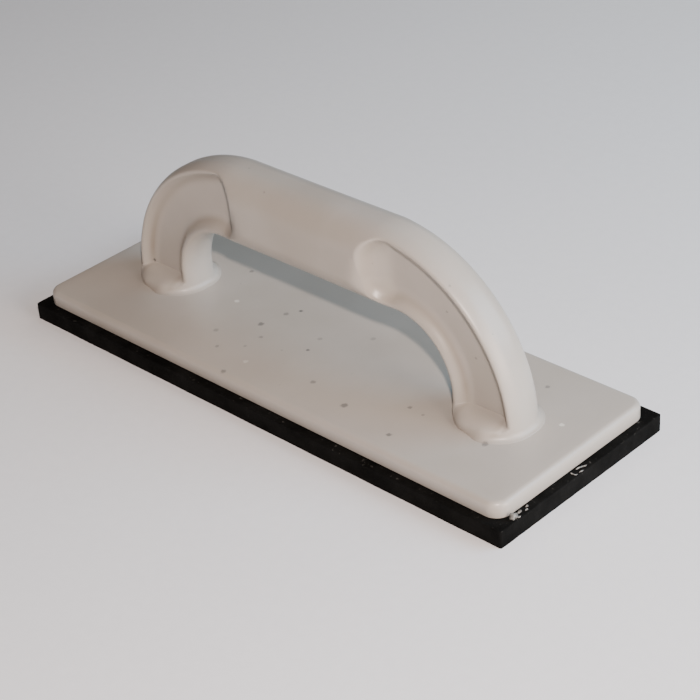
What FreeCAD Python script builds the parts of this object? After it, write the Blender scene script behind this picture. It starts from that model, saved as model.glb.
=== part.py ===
# Hand float for sanding and rubbing: a moulded plate with an arched grip, on a bonded rubber sole.
# Frame: +X along the length, +Y across, +Z up; the origin is the centre of the sole's underside.
import FreeCAD, Part
import math
import os
import Sketcher

doc = FreeCAD.newDocument("sanding_block")

# ---------------------------------------------------------------- driving sizes, mm
SIZES = [
    ("SoleLength", 280.0),
    ("SoleWidth", 100.0),
    ("SoleThick", 8.0),
    ("SoleCornerRound", 1.0),
    ("FilmThick", 0.3),
    ("FilmInset", 1.0),
    ("SoleLedge", 4.0),
    ("PlateThick", 7.0),
    ("PlateCornerRound", 7.0),
    ("PlateEdgeRound", 2.5),
    ("HandleWidth", 28.8),
    ("HandleEdgeRound", 12.7),
    ("FootSetback", 23.4),
    ("LegDepth", 34.3),
    ("GripClearance", 36.5),
    ("GripDepth", 35.9),
    ("OuterBendRadius", 71.3),
    ("InnerBendRadius", 27.3),
    ("FootFillet", 2.0),
    ("PocketWall", 3.2),
    ("PocketWeb", 8.8),
    ("PocketFloorRound", 4.0),
    ("PocketEndRound", 12.0),
    ("PlainGripLength", 75.0),
    ("FootStepHeight", 5.5),
    ("BeadHeight", 2.6),
    ("BeadWidth", 2.2),
    ("CornerBeadTail", 8.0),
    ("CornerBeadTurn", 40.0),
    ("EndBeadLength", 9.0),
    ("EndBeadPlace", 1.0),
]
sheet = doc.addObject("Spreadsheet::Sheet", "Sizes")
for row, (alias, number) in enumerate(SIZES, start=1):
    sheet.set("A%d" % row, alias)
    sheet.set("B%d" % row, str(number))
    sheet.setAlias("B%d" % row, alias)
doc.recompute()


def size(alias):
    """The value of one cell of the sheet."""
    return float(getattr(sheet, alias))


# Lengths that follow: the plate stops a ledge's width inside the sole, and the legs stand a
# setback inside the plate's ends. Heights follow from the stack: sole, film, plate, grip.
PLATE_LENGTH = "(Sizes.SoleLength - 2 * Sizes.SoleLedge)"
PLATE_WIDTH = "(Sizes.SoleWidth - 2 * Sizes.SoleLedge)"
LEG_OUTER = "(" + PLATE_LENGTH + " / 2 - Sizes.FootSetback)"
LEG_INNER = "(" + LEG_OUTER + " - Sizes.LegDepth)"
FILM_BASE = "Sizes.SoleThick"
PLATE_BASE = "Sizes.SoleThick + Sizes.FilmThick"
PLATE_TOP = PLATE_BASE + " + Sizes.PlateThick"
GRIP_UNDER = PLATE_TOP + " + Sizes.GripClearance"
GRIP_TOP = GRIP_UNDER + " + Sizes.GripDepth"

# Roundings stop short of the wall that they are cut in.
HANDLE_ROUND = "min(Sizes.HandleEdgeRound; Sizes.HandleWidth / 2 - 0.5)"
NOSE_ROUND = "min(Sizes.PocketEndRound; Sizes.GripDepth / 2 - Sizes.PocketWall - 1.5)"

plate_base = size("SoleThick") + size("FilmThick")
plate_top = plate_base + size("PlateThick")
grip_under = plate_top + size("GripClearance")
grip_top = grip_under + size("GripDepth")
plate_length = size("SoleLength") - 2 * size("SoleLedge")
plate_width = size("SoleWidth") - 2 * size("SoleLedge")
outer_x = plate_length / 2 - size("FootSetback")
inner_x = outer_x - size("LegDepth")


def new_body(label):
    """An empty PartDesign body that will be one sub-part."""
    body = doc.addObject("PartDesign::Body", label)
    body.Label = label
    return body


def plane_of(body, role):
    """One of a body's own origin planes, found by its role."""
    for feature in body.Origin.OriginFeatures:
        if feature.Role == role:
            return feature
    raise RuntimeError("no plane " + role)


def new_sketch(body, name, role, offset_expression=None):
    """A sketch on an origin plane, moved along the plane's normal when an offset is given."""
    sketch = body.newObject("Sketcher::SketchObject", name)
    sketch.AttachmentSupport = [(plane_of(body, role), "")]
    sketch.MapMode = "FlatFace"
    if offset_expression:
        sketch.setExpression("AttachmentOffset.Base.z", offset_expression)
    doc.recompute()
    return sketch


def drive(sketch, kind, *args, by):
    """Adds a dimension to a sketch and binds it to an expression of the sheet."""
    index = sketch.addConstraint(Sketcher.Constraint(kind, *args))
    sketch.setExpression("Constraints[%d]" % index, by)
    return index


def rectangle(sketch, length, width, length_by, width_by):
    """A rectangle centred on the sketch's origin."""
    x = length / 2
    y = width / 2
    corners = [(-x, -y), (x, -y), (x, y), (-x, y)]
    for k in range(4):
        a = FreeCAD.Vector(corners[k][0], corners[k][1], 0)
        b = FreeCAD.Vector(corners[(k + 1) % 4][0], corners[(k + 1) % 4][1], 0)
        sketch.addGeometry(Part.LineSegment(a, b), False)
    for k in range(4):
        sketch.addConstraint(Sketcher.Constraint("Coincident", k, 2, (k + 1) % 4, 1))
    sketch.addConstraint(Sketcher.Constraint("Horizontal", 0))
    sketch.addConstraint(Sketcher.Constraint("Horizontal", 2))
    sketch.addConstraint(Sketcher.Constraint("Vertical", 1))
    sketch.addConstraint(Sketcher.Constraint("Vertical", 3))
    sketch.addConstraint(Sketcher.Constraint("Symmetric", 0, 1, 1, 2, -1, 1))
    drive(sketch, "DistanceX", 0, 1, 0, 2, length, by=length_by)
    drive(sketch, "DistanceY", 1, 1, 1, 2, width, by=width_by)


def pad(body, sketch, name, length_by, midplane=False):
    """A pad of a sketch, along the sketch's normal or to both sides of it."""
    feature = body.newObject("PartDesign::Pad", name)
    feature.Profile = sketch
    feature.Midplane = midplane
    feature.setExpression("Length", length_by)
    doc.recompute()
    return feature


def fillet(body, base, name, radius_by, keep):
    """A fillet on every edge of the base feature that keep() accepts."""
    edges = []
    for index, edge in enumerate(base.Shape.Edges, start=1):
        if keep(edge):
            edges.append("Edge%d" % index)
    if not edges:
        raise RuntimeError(name + " finds no edge")
    feature = body.newObject("PartDesign::Fillet", name)
    feature.Base = (base, edges)
    feature.setExpression("Radius", radius_by)
    doc.recompute()
    return feature


def trim_below(body, name, z, z_by):
    """Cuts away everything in a body below a height, straight across."""
    sketch = new_sketch(body, name + "Outline", "XZ_Plane")
    wide = 2 * outer_x
    deep = z + 2 * size("OuterBendRadius")
    corners = [(-wide / 2, z - deep), (wide / 2, z - deep), (wide / 2, z), (-wide / 2, z)]
    for k in range(4):
        a = FreeCAD.Vector(corners[k][0], corners[k][1], 0)
        b = FreeCAD.Vector(corners[(k + 1) % 4][0], corners[(k + 1) % 4][1], 0)
        sketch.addGeometry(Part.LineSegment(a, b), False)
    for k in range(4):
        sketch.addConstraint(Sketcher.Constraint("Coincident", k, 2, (k + 1) % 4, 1))
    for kind, edge in (("Horizontal", 0), ("Vertical", 1), ("Vertical", 3)):
        sketch.addConstraint(Sketcher.Constraint(kind, edge))
    sketch.addConstraint(Sketcher.Constraint("Symmetric", 2, 1, 2, 2, -2))
    drive(sketch, "DistanceX", 0, 1, 0, 2, wide, by="2 * " + LEG_OUTER + " + 2")
    drive(sketch, "DistanceY", 1, 1, 1, 2, deep, by=z_by + " + 2 * Sizes.OuterBendRadius")
    drive(sketch, "DistanceY", -1, 1, 1, 2, z, by=z_by)
    doc.recompute()
    before = body.Shape.Volume
    feature = body.newObject("PartDesign::Pocket", name)
    feature.Profile = sketch
    feature.Type = "ThroughAll"
    feature.Midplane = True
    doc.recompute()
    if before - feature.Shape.Volume < 1000:
        raise RuntimeError(name + " cuts nothing")
    return feature


def flat_at(edge, axis, value):
    """True when an edge lies in the plane where one coordinate has a value."""
    low = (edge.BoundBox.XMin, edge.BoundBox.YMin, edge.BoundBox.ZMin)[axis]
    high = (edge.BoundBox.XMax, edge.BoundBox.YMax, edge.BoundBox.ZMax)[axis]
    return abs(low - value) < 0.01 and abs(high - value) < 0.01


def upright(edge):
    """True for a straight vertical edge."""
    box = edge.BoundBox
    return box.ZLength > 0.1 and box.XLength < 0.01 and box.YLength < 0.01


# ---------------------------------------------------------------- rubber sole
# A slab of black rubber sheet cut square, a little larger than the plate all round.
sole = new_body("rubber_sole")
sole_sketch = new_sketch(sole, "SoleOutline", "XY_Plane")
rectangle(sole_sketch, size("SoleLength"), size("SoleWidth"), "Sizes.SoleLength", "Sizes.SoleWidth")
sole_pad = pad(sole, sole_sketch, "SoleSlab", "Sizes.SoleThick")
fillet(sole, sole_pad, "SoleCorners", "Sizes.SoleCornerRound", upright)

# ---------------------------------------------------------------- adhesive film
# Contact adhesive between the sole and the plate, just short of the plate's edge.
film = new_body("adhesive_film")
film_sketch = new_sketch(film, "FilmOutline", "XY_Plane", FILM_BASE)
rectangle(
    film_sketch,
    plate_length - 2 * size("FilmInset"),
    plate_width - 2 * size("FilmInset"),
    PLATE_LENGTH + " - 2 * Sizes.FilmInset",
    PLATE_WIDTH + " - 2 * Sizes.FilmInset",
)
film_pad = pad(film, film_sketch, "FilmSheet", "Sizes.FilmThick")
fillet(film, film_pad, "FilmCorners", "Sizes.PlateCornerRound - Sizes.FilmInset", upright)

# ---------------------------------------------------------------- moulded body: the arched handle
# Side view of the arch: outer line with two large bends, inner line with two smaller ones.
# The legs are drawn long and cut off inside the plate, so plate and handle are one moulding.
mould = new_body("SolidMoulding")
arch_sketch = new_sketch(mould, "ArchSideView", "XZ_Plane")
bend_o = size("OuterBendRadius")
bend_i = size("InnerBendRadius")
low_z = -bend_o


def line(sketch, xa, za, xb, zb):
    """A straight piece of a side view."""
    a = FreeCAD.Vector(xa, za, 0)
    b = FreeCAD.Vector(xb, zb, 0)
    return sketch.addGeometry(Part.LineSegment(a, b), False)


def arc(sketch, x, z, radius, start, end):
    """A circular bend of a side view, between two angles in degrees."""
    circle = Part.Circle(FreeCAD.Vector(x, z, 0), FreeCAD.Vector(0, 0, 1), radius)
    bend = Part.ArcOfCircle(circle, math.radians(start), math.radians(end))
    return sketch.addGeometry(bend, False)


leg_right = line(arch_sketch, outer_x, low_z, outer_x, grip_top - bend_o)
bend_right = arc(arch_sketch, outer_x - bend_o, grip_top - bend_o, bend_o, 0, 90)
crown = line(arch_sketch, outer_x - bend_o, grip_top, bend_o - outer_x, grip_top)
bend_left = arc(arch_sketch, bend_o - outer_x, grip_top - bend_o, bend_o, 90, 180)
leg_left = line(arch_sketch, -outer_x, grip_top - bend_o, -outer_x, low_z)
foot_left = line(arch_sketch, -outer_x, low_z, -inner_x, low_z)
inside_left = line(arch_sketch, -inner_x, low_z, -inner_x, grip_under - bend_i)
curve_left = arc(arch_sketch, bend_i - inner_x, grip_under - bend_i, bend_i, 90, 180)
underside = line(arch_sketch, bend_i - inner_x, grip_under, inner_x - bend_i, grip_under)
curve_right = arc(arch_sketch, inner_x - bend_i, grip_under - bend_i, bend_i, 0, 90)
inside_right = line(arch_sketch, inner_x, grip_under - bend_i, inner_x, low_z)
foot_right = line(arch_sketch, inner_x, low_z, outer_x, low_z)

for kind, pieces in (
    ("Vertical", (leg_right, leg_left, inside_left, inside_right)),
    ("Horizontal", (crown, underside, foot_left, foot_right)),
):
    for piece in pieces:
        arch_sketch.addConstraint(Sketcher.Constraint(kind, piece))
for first, end_a, second, end_b in (
    (leg_right, 2, bend_right, 1),
    (bend_right, 2, crown, 1),
    (crown, 2, bend_left, 1),
    (bend_left, 2, leg_left, 1),
    (inside_left, 2, curve_left, 2),
    (curve_left, 1, underside, 1),
    (underside, 2, curve_right, 2),
    (curve_right, 1, inside_right, 1),
):
    arch_sketch.addConstraint(Sketcher.Constraint("Tangent", first, end_a, second, end_b))
for first, end_a, second, end_b in (
    (leg_left, 2, foot_left, 1),
    (foot_left, 2, inside_left, 1),
    (inside_right, 2, foot_right, 1),
    (foot_right, 2, leg_right, 1),
):
    arch_sketch.addConstraint(Sketcher.Constraint("Coincident", first, end_a, second, end_b))
arch_sketch.addConstraint(Sketcher.Constraint("Symmetric", foot_left, 1, foot_right, 2, -2))
arch_sketch.addConstraint(Sketcher.Constraint("Equal", bend_left, bend_right))
arch_sketch.addConstraint(Sketcher.Constraint("Equal", curve_left, curve_right))
arch_sketch.addConstraint(Sketcher.Constraint("Equal", foot_left, foot_right))
drive(arch_sketch, "Radius", bend_right, bend_o, by="Sizes.OuterBendRadius")
drive(arch_sketch, "Radius", curve_right, bend_i, by="Sizes.InnerBendRadius")
drive(arch_sketch, "DistanceX", foot_left, 2, foot_right, 1, 2 * inner_x, by="2 * " + LEG_INNER)
drive(arch_sketch, "DistanceX", foot_right, 1, foot_right, 2, size("LegDepth"), by="Sizes.LegDepth")
drive(arch_sketch, "DistanceY", foot_right, 1, -1, 1, bend_o, by="Sizes.OuterBendRadius")
drive(arch_sketch, "DistanceY", -1, 1, underside, 1, grip_under, by=GRIP_UNDER)
drive(arch_sketch, "DistanceY", -1, 1, crown, 1, grip_top, by=GRIP_TOP)
if arch_sketch.solve() != 0:
    raise RuntimeError("the arch's side view has no solution")
arch_pad = pad(mould, arch_sketch, "Arch", "Sizes.HandleWidth", midplane=True)
feet_z = plate_base + size("PlateThick") / 2
arch_feet = trim_below(mould, "ArchFeet", feet_z, PLATE_BASE + " + Sizes.PlateThick / 2")


def arch_rim(edge):
    """True for the arch's outer and inner rims, on both of its flat sides."""
    side = size("HandleWidth") / 2
    if not (flat_at(edge, 1, side) or flat_at(edge, 1, -side)):
        return False
    return edge.BoundBox.ZLength > 0.01 or edge.BoundBox.ZMax > plate_top


fillet(mould, arch_feet, "ArchRounding", HANDLE_ROUND, arch_rim)

# ---------------------------------------------------------------- moulded body: the plate
plate_sketch = new_sketch(mould, "PlateOutline", "XY_Plane", PLATE_BASE)
rectangle(plate_sketch, plate_length, plate_width, PLATE_LENGTH, PLATE_WIDTH)
plate_pad = pad(mould, plate_sketch, "Plate", "Sizes.PlateThick")


def plate_corner(edge):
    """True for the plate's own four upright corners."""
    return upright(edge) and abs(abs(edge.BoundBox.XMin) - plate_length / 2) < 0.01


def plate_rim(edge):
    """True for the outline of the plate's top, not for the legs' feet on it."""
    if not flat_at(edge, 2, plate_top):
        return False
    box = edge.BoundBox
    beside = max(abs(box.YMin), abs(box.YMax)) > size("HandleWidth") / 2 + 1
    return beside or max(abs(box.XMin), abs(box.XMax)) > outer_x + 1


plate_corners = fillet(mould, plate_pad, "PlateCorners", "Sizes.PlateCornerRound", plate_corner)
plate_edge = fillet(mould, plate_corners, "PlateTopEdge", "Sizes.PlateEdgeRound", plate_rim)


def foot_line(edge):
    """True where a leg's rounded foot meets the plate's top."""
    if not flat_at(edge, 2, plate_top):
        return False
    box = edge.BoundBox
    half = size("HandleWidth") / 2 + 0.1
    inside_y = box.YMin > -half and box.YMax < half
    return inside_y and box.XMin > -outer_x - 0.1 and box.XMax < outer_x + 0.1


fillet(mould, plate_edge, "FootFillets", "Sizes.FootFillet", foot_line)

# ---------------------------------------------------------------- moulded body: the side pockets
# A scoop in each side of each leg: it follows the bends a wall's width inside them, ends in a
# round nose beside the grip and stops at a step above the foot. A web is left in the middle.
cutter = new_body("PocketCutter")
pocket_sketch = new_sketch(cutter, "PocketOutline", "XZ_Plane", "Sizes.PocketWeb / 2")
wall = size("PocketWall")
nose = min(size("PocketEndRound"), size("GripDepth") / 2 - wall - 1.5)
nose_x = size("PlainGripLength") / 2
step_z = plate_top + size("FootStepHeight")
STEP = PLATE_TOP + " + Sizes.FootStepHeight"
big = bend_o - wall
small = bend_i + wall
outer_cx = outer_x - bend_o
outer_cz = grip_top - bend_o
nose_cx = nose_x + nose
rise = math.sqrt((big - nose) ** 2 - (nose_cx - outer_cx) ** 2)
lean = math.degrees(math.atan2(rise, nose_cx - outer_cx))
nose_low_z = grip_under + wall

outer_leg = line(pocket_sketch, outer_x - wall, low_z, outer_x - wall, outer_cz)
outer_bend = arc(pocket_sketch, outer_cx, outer_cz, big, 0, lean)
nose_top = arc(pocket_sketch, nose_cx, outer_cz + rise, nose, lean, 180)
nose_side = line(pocket_sketch, nose_x, outer_cz + rise, nose_x, nose_low_z + nose)
nose_low = arc(pocket_sketch, nose_cx, nose_low_z + nose, nose, 180, 270)
low_line = line(pocket_sketch, nose_cx, nose_low_z, inner_x - bend_i, nose_low_z)
inner_bend = arc(pocket_sketch, inner_x - bend_i, grip_under - bend_i, small, 0, 90)
inner_leg = line(pocket_sketch, inner_x + wall, grip_under - bend_i, inner_x + wall, low_z)
bottom_line = line(pocket_sketch, inner_x + wall, low_z, outer_x - wall, low_z)
for kind, pieces in (
    ("Vertical", (outer_leg, nose_side, inner_leg)),
    ("Horizontal", (low_line, bottom_line)),
):
    for piece in pieces:
        pocket_sketch.addConstraint(Sketcher.Constraint(kind, piece))
for first, end_a, second, end_b in (
    (outer_leg, 2, outer_bend, 1),
    (outer_bend, 2, nose_top, 1),
    (nose_top, 2, nose_side, 1),
    (nose_side, 2, nose_low, 1),
    (nose_low, 2, low_line, 1),
    (low_line, 2, inner_bend, 2),
    (inner_bend, 1, inner_leg, 1),
):
    pocket_sketch.addConstraint(Sketcher.Constraint("Tangent", first, end_a, second, end_b))
pocket_sketch.addConstraint(Sketcher.Constraint("Coincident", inner_leg, 2, bottom_line, 1))
pocket_sketch.addConstraint(Sketcher.Constraint("Coincident", bottom_line, 2, outer_leg, 1))
pocket_sketch.addConstraint(Sketcher.Constraint("Equal", nose_top, nose_low))
drive(pocket_sketch, "Radius", outer_bend, big, by="Sizes.OuterBendRadius - Sizes.PocketWall")
drive(pocket_sketch, "Radius", inner_bend, small, by="Sizes.InnerBendRadius + Sizes.PocketWall")
drive(pocket_sketch, "Radius", nose_low, nose, by=NOSE_ROUND)
drive(pocket_sketch, "DistanceX", -1, 1, nose_side, 1, nose_x, by="Sizes.PlainGripLength / 2")
drive(
    pocket_sketch, "DistanceX", -1, 1, inner_leg, 1, inner_x + wall,
    by=LEG_INNER + " + Sizes.PocketWall",
)
drive(
    pocket_sketch, "DistanceX", -1, 1, outer_leg, 1, outer_x - wall,
    by=LEG_OUTER + " - Sizes.PocketWall",
)
drive(pocket_sketch, "DistanceY", outer_leg, 1, outer_leg, 2, outer_cz - low_z, by=GRIP_TOP)
drive(pocket_sketch, "DistanceY", -1, 1, low_line, 1, nose_low_z, by=GRIP_UNDER + " + Sizes.PocketWall")
drive(pocket_sketch, "DistanceY", bottom_line, 1, -1, 1, bend_o, by="Sizes.OuterBendRadius")
if pocket_sketch.solve() != 0:
    raise RuntimeError("the pocket's outline has no solution")
doc.recompute()

pad(cutter, pocket_sketch, "PocketPad", "Sizes.HandleWidth / 2")


def pocket_floor(edge):
    """True for the foot of a pocket's wall, where it meets the web."""
    return flat_at(edge, 1, -size("PocketWeb") / 2)


cutter_step = trim_below(cutter, "PocketStep", step_z, STEP)
fillet(cutter, cutter_step, "PocketFloor", "Sizes.PocketFloorRound", pocket_floor)


def mirrored(source, name, normal):
    """A mirror image of a solid across a plane through the origin."""
    image = doc.addObject("Part::Mirroring", name)
    image.Source = source
    image.Normal = FreeCAD.Vector(*normal)
    image.Base = FreeCAD.Vector(0, 0, 0)
    return image


cutter_left = mirrored(cutter, "PocketOtherLeg", (1, 0, 0))
near_pair = doc.addObject("Part::MultiFuse", "PocketPair")
near_pair.Shapes = [cutter, cutter_left]
far_pair = mirrored(near_pair, "PocketOtherSide", (0, 1, 0))
all_pockets = doc.addObject("Part::MultiFuse", "AllPockets")
all_pockets.Shapes = [near_pair, far_pair]
moulding = doc.addObject("Part::Cut", "Moulding")
moulding.Base = mould
moulding.Tool = all_pockets
moulding.Label = "float_body"
doc.recompute()
if mould.Shape.Volume - moulding.Shape.Volume < 4 * 1000:
    raise RuntimeError("the pockets cut nothing")

# ---------------------------------------------------------------- dried adhesive beads
# Adhesive squeezed out on the sole's ledge beside the plate: one bead round the near right
# corner, one on the right-hand end. Each lies on the sole and against the plate's side.
def bead_section(body, name, offset_by):
    """A bead's cross-section at the plate's end face, with the plate corner's axis beside it."""
    sketch = new_sketch(body, name, "XZ_Plane", offset_by)
    back_x = plate_length / 2
    base_z = size("SoleThick")
    wide = size("BeadWidth")
    tall = size("BeadHeight")
    axis_x = back_x - size("PlateCornerRound")
    back = line(sketch, back_x, base_z, back_x, base_z + tall)
    base = line(sketch, back_x, base_z, back_x + wide, base_z)
    chord = math.hypot(wide, tall)
    inset = math.sqrt(tall ** 2 - chord ** 2 / 4)
    centre_x = back_x + wide / 2 - inset * tall / chord
    centre_z = base_z + tall / 2 - inset * wide / chord
    start = math.degrees(math.atan2(base_z - centre_z, back_x + wide - centre_x))
    end = math.degrees(math.atan2(base_z + tall - centre_z, back_x - centre_x))
    face = arc(sketch, centre_x, centre_z, tall, start, end)
    sketch.addConstraint(Sketcher.Constraint("Coincident", back, 1, base, 1))
    sketch.addConstraint(Sketcher.Constraint("Coincident", base, 2, face, 1))
    sketch.addConstraint(Sketcher.Constraint("Coincident", back, 2, face, 2))
    sketch.addConstraint(Sketcher.Constraint("Vertical", back))
    sketch.addConstraint(Sketcher.Constraint("Horizontal", base))
    drive(sketch, "DistanceX", -1, 1, back, 1, back_x, by=PLATE_LENGTH + " / 2")
    drive(sketch, "DistanceY", -1, 1, back, 1, base_z, by="Sizes.SoleThick")
    drive(sketch, "DistanceX", base, 1, base, 2, wide, by="Sizes.BeadWidth")
    drive(sketch, "DistanceY", back, 1, back, 2, tall, by="Sizes.BeadHeight")
    drive(sketch, "Radius", face, tall, by="Sizes.BeadHeight")
    a = FreeCAD.Vector(axis_x, base_z, 0)
    b = FreeCAD.Vector(axis_x, base_z + tall, 0)
    axis = sketch.addGeometry(Part.LineSegment(a, b), True)
    sketch.addConstraint(Sketcher.Constraint("Vertical", axis))
    sketch.addConstraint(Sketcher.Constraint("Horizontal", axis, 1, back, 1))
    sketch.addConstraint(Sketcher.Constraint("Horizontal", axis, 2, back, 2))
    corner_by = PLATE_LENGTH + " / 2 - Sizes.PlateCornerRound"
    drive(sketch, "DistanceX", -1, 1, axis, 1, axis_x, by=corner_by)
    if sketch.solve() != 0:
        raise RuntimeError(name + " has no solution")
    doc.recompute()
    return sketch


corner_bead = new_body("glue_bead_corner")
corner_section = bead_section(
    corner_bead,
    "CornerBeadSection",
    PLATE_WIDTH + " / 2 - Sizes.PlateCornerRound",
)
corner_tail = pad(corner_bead, corner_section, "CornerBeadTail", "Sizes.CornerBeadTail")
corner_tail.Reversed = True
corner_turn = corner_bead.newObject("PartDesign::Revolution", "CornerBeadTurn")
corner_turn.Profile = corner_section
corner_turn.ReferenceAxis = (corner_section, ["Axis0"])
corner_turn.Reversed = True
corner_turn.setExpression("Angle", "Sizes.CornerBeadTurn")
doc.recompute()

end_bead = new_body("glue_bead_end")
end_section = bead_section(end_bead, "EndBeadSection", "-Sizes.EndBeadPlace")
pad(end_bead, end_section, "EndBead", "Sizes.EndBeadLength", midplane=True)

# ---------------------------------------------------------------- checks and files
SUB_PARTS = (sole, film, moulding, corner_bead, end_bead)
for item in doc.Objects:
    if "Invalid" in item.State or "Error" in item.State:
        raise RuntimeError(item.Name + " failed: " + str(item.State))
for sub_part in SUB_PARTS:
    if sub_part.Shape.isNull() or not sub_part.Shape.isValid():
        raise RuntimeError(sub_part.Label + " has no valid shape")
os.makedirs("parts", exist_ok=True)
for sub_part in SUB_PARTS:
    sub_part.Shape.exportStep("parts/" + sub_part.Label + ".step")
    print(sub_part.Label, round(sub_part.Shape.Volume), "mm3", sub_part.Shape.BoundBox)
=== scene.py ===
import math

import bpy
import numpy as np
from bpy.props import FloatProperty, FloatVectorProperty, PointerProperty
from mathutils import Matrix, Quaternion, Vector


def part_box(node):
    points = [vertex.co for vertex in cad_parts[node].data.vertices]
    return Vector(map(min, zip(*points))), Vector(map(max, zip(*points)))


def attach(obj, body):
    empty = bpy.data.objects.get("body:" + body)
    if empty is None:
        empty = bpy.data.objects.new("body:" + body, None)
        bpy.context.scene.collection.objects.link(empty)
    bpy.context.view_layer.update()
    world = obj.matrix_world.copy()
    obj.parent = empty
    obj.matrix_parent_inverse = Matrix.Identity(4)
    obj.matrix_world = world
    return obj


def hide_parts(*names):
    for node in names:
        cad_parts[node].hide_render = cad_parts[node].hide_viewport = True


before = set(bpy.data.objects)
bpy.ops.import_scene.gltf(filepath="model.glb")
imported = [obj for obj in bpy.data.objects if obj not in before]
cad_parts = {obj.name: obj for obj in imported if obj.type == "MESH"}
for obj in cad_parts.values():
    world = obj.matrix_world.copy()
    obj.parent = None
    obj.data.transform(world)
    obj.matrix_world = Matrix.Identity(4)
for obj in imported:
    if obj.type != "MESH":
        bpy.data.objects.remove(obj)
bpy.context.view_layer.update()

bl_info = {
    "name": "Hand float with rubber sole",
    "version": (1, 0, 0),
    "blender": (4, 5, 0),
    "location": "View3D > Sidebar > Hand Float",
    "description": "Builds the visible surfaces, materials and stage of a sanding float",
    "category": "Object",
}

MM = 0.001
BODY_LOW, BODY_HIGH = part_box("float_body")
SOLE_LOW, SOLE_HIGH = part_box("rubber_sole")

# Small roundings of the plate's underside and of the sole, and how far the sole's cut edge wanders.
PLATE_UNDER_ROUND = 0.3 * MM
SOLE_CORNER = 1.0 * MM
SOLE_EDGE_ROUND = 0.35 * MM
SOLE_RAGGED = 0.22 * MM

# How the handle's rows lie: level cuts below a height, and this many rows round a bend.
LEVEL_BELOW = 30.0 * MM
BEND_ROWS = 136

# The toe at a foot. Its profile is a superellipse with these powers. It bulges fully up to the
# first distance from the leg's middle and fades over the second, only where the section is wider
# than the third, and it meets the pocket in a hollow of the fourth. The last keeps it out of the
# way above its own height.
TOE_RISE_POWER, TOE_FILL_POWER = 3.6, 2.4
TOE_FULL, TOE_FADE = 3.0 * MM, 11.0 * MM
TOE_BULGE_FROM = 6.0 * MM
TOE_HOLLOW = 2.6 * MM
TOE_ABSENT = -4.0 * MM
# The pocket's surface moves out by the first value over the second one above the plate.
FOOT_FILL, FOOT_FILL_HEIGHT = 12.0 * MM, 4.6 * MM

# The nose's steep wall holds up to the first distance from its tip, and gives way to the side
# walls over the second. The rim's softness changes over the third, and the fourth is the width of
# the band of dirt and painted shade under a wall.
NOSE_END, NOSE_FADE = 5.0 * MM, 14.0 * MM
RIM_CHANGE = 4.0 * MM
DIRT_AND_SHADE_WIDTH = 1.3 * MM

# Name, azimuth and elevation in degrees, distance and size in metres, power in watts, colour.
LAMPS = (
    ("key_lamp", 50, 37.5, 1.0, 0.035, 10.6, (1.0, 0.84, 0.78)),
    ("right_window", 92, 16, 1.2, 0.6, 13.5, (1.0, 0.87, 0.80)),
    ("cool_window", 125, 30, 1.0, 0.6, 8.3, (0.47, 0.74, 1.0)),
    ("back_fill", 190, 35, 1.0, 0.7, 1.6, (1.0, 0.95, 0.9)),
)
LAMP_AIM = (0.0, 0.0, 0.03)
AIR_COLOUR, AIR_STRENGTH = (1.0, 0.93, 0.86, 1.0), 0.05
FLOOR_REACH = 6.0

CAMERA_STAND = (0.53618, -0.49070, 0.46211)
CAMERA_TARGET = (0.01906, -0.00454, 0.02000)
CAMERA_ROLL = math.radians(-5.21)
CAMERA_LENS, CAMERA_SENSOR = 102.1, 36.0


def linear(hex_colour):
    """Turns an sRGB hex colour into the linear values that the shaders take."""
    parts = [int(hex_colour[k:k + 2], 16) / 255.0 for k in (1, 3, 5)]
    return tuple(c / 12.92 if c <= 0.04045 else ((c + 0.055) / 1.055) ** 2.4 for c in parts)


def length(name, description, millimetres):
    """A length property in metres, given its default in millimetres."""
    return FloatProperty(
        name=name, description=description, default=millimetres * MM, min=0.0,
        subtype="DISTANCE", unit="LENGTH", precision=5,
    )


def colour(name, description, hex_colour):
    """A colour property with a default from a hex value."""
    return FloatVectorProperty(
        name=name, description=description, default=linear(hex_colour), min=0.0, max=1.0,
        subtype="COLOR", size=3,
    )


# ------------------------------------------------------------------ sizes and colours
class FloatBodySizes(bpy.types.PropertyGroup):
    plate_top: length("Plate top", "Height of the plate's upper face", 15.3)
    plate_corner: length("Plate corner", "Radius of the plate's corners in plan", 7.0)
    plate_edge: length("Plate edge", "Rounding of the plate's upper edge", 2.5)
    grip_under: length("Grip underside", "Height of the grip's underside", 51.8)
    leg_outer: length("Leg outside", "Distance of a leg's outer face from the middle", 112.6)
    leg_inner: length("Leg inside", "Distance of a leg's inner face from the middle", 78.3)
    outer_bend: length("Outer bend", "Radius of the arch's outer bends", 71.3)
    inner_bend: length("Inner bend", "Radius of the arch's inner bends", 27.3)
    half_width: length("Half width", "Half the handle's width", 14.4)
    edge_round: length("Edge rounding", "Rounding of the handle's edges", 12.7)
    foot_flare: length("Foot flare", "Fillet where a leg runs out into the plate", 2.6)


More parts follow.
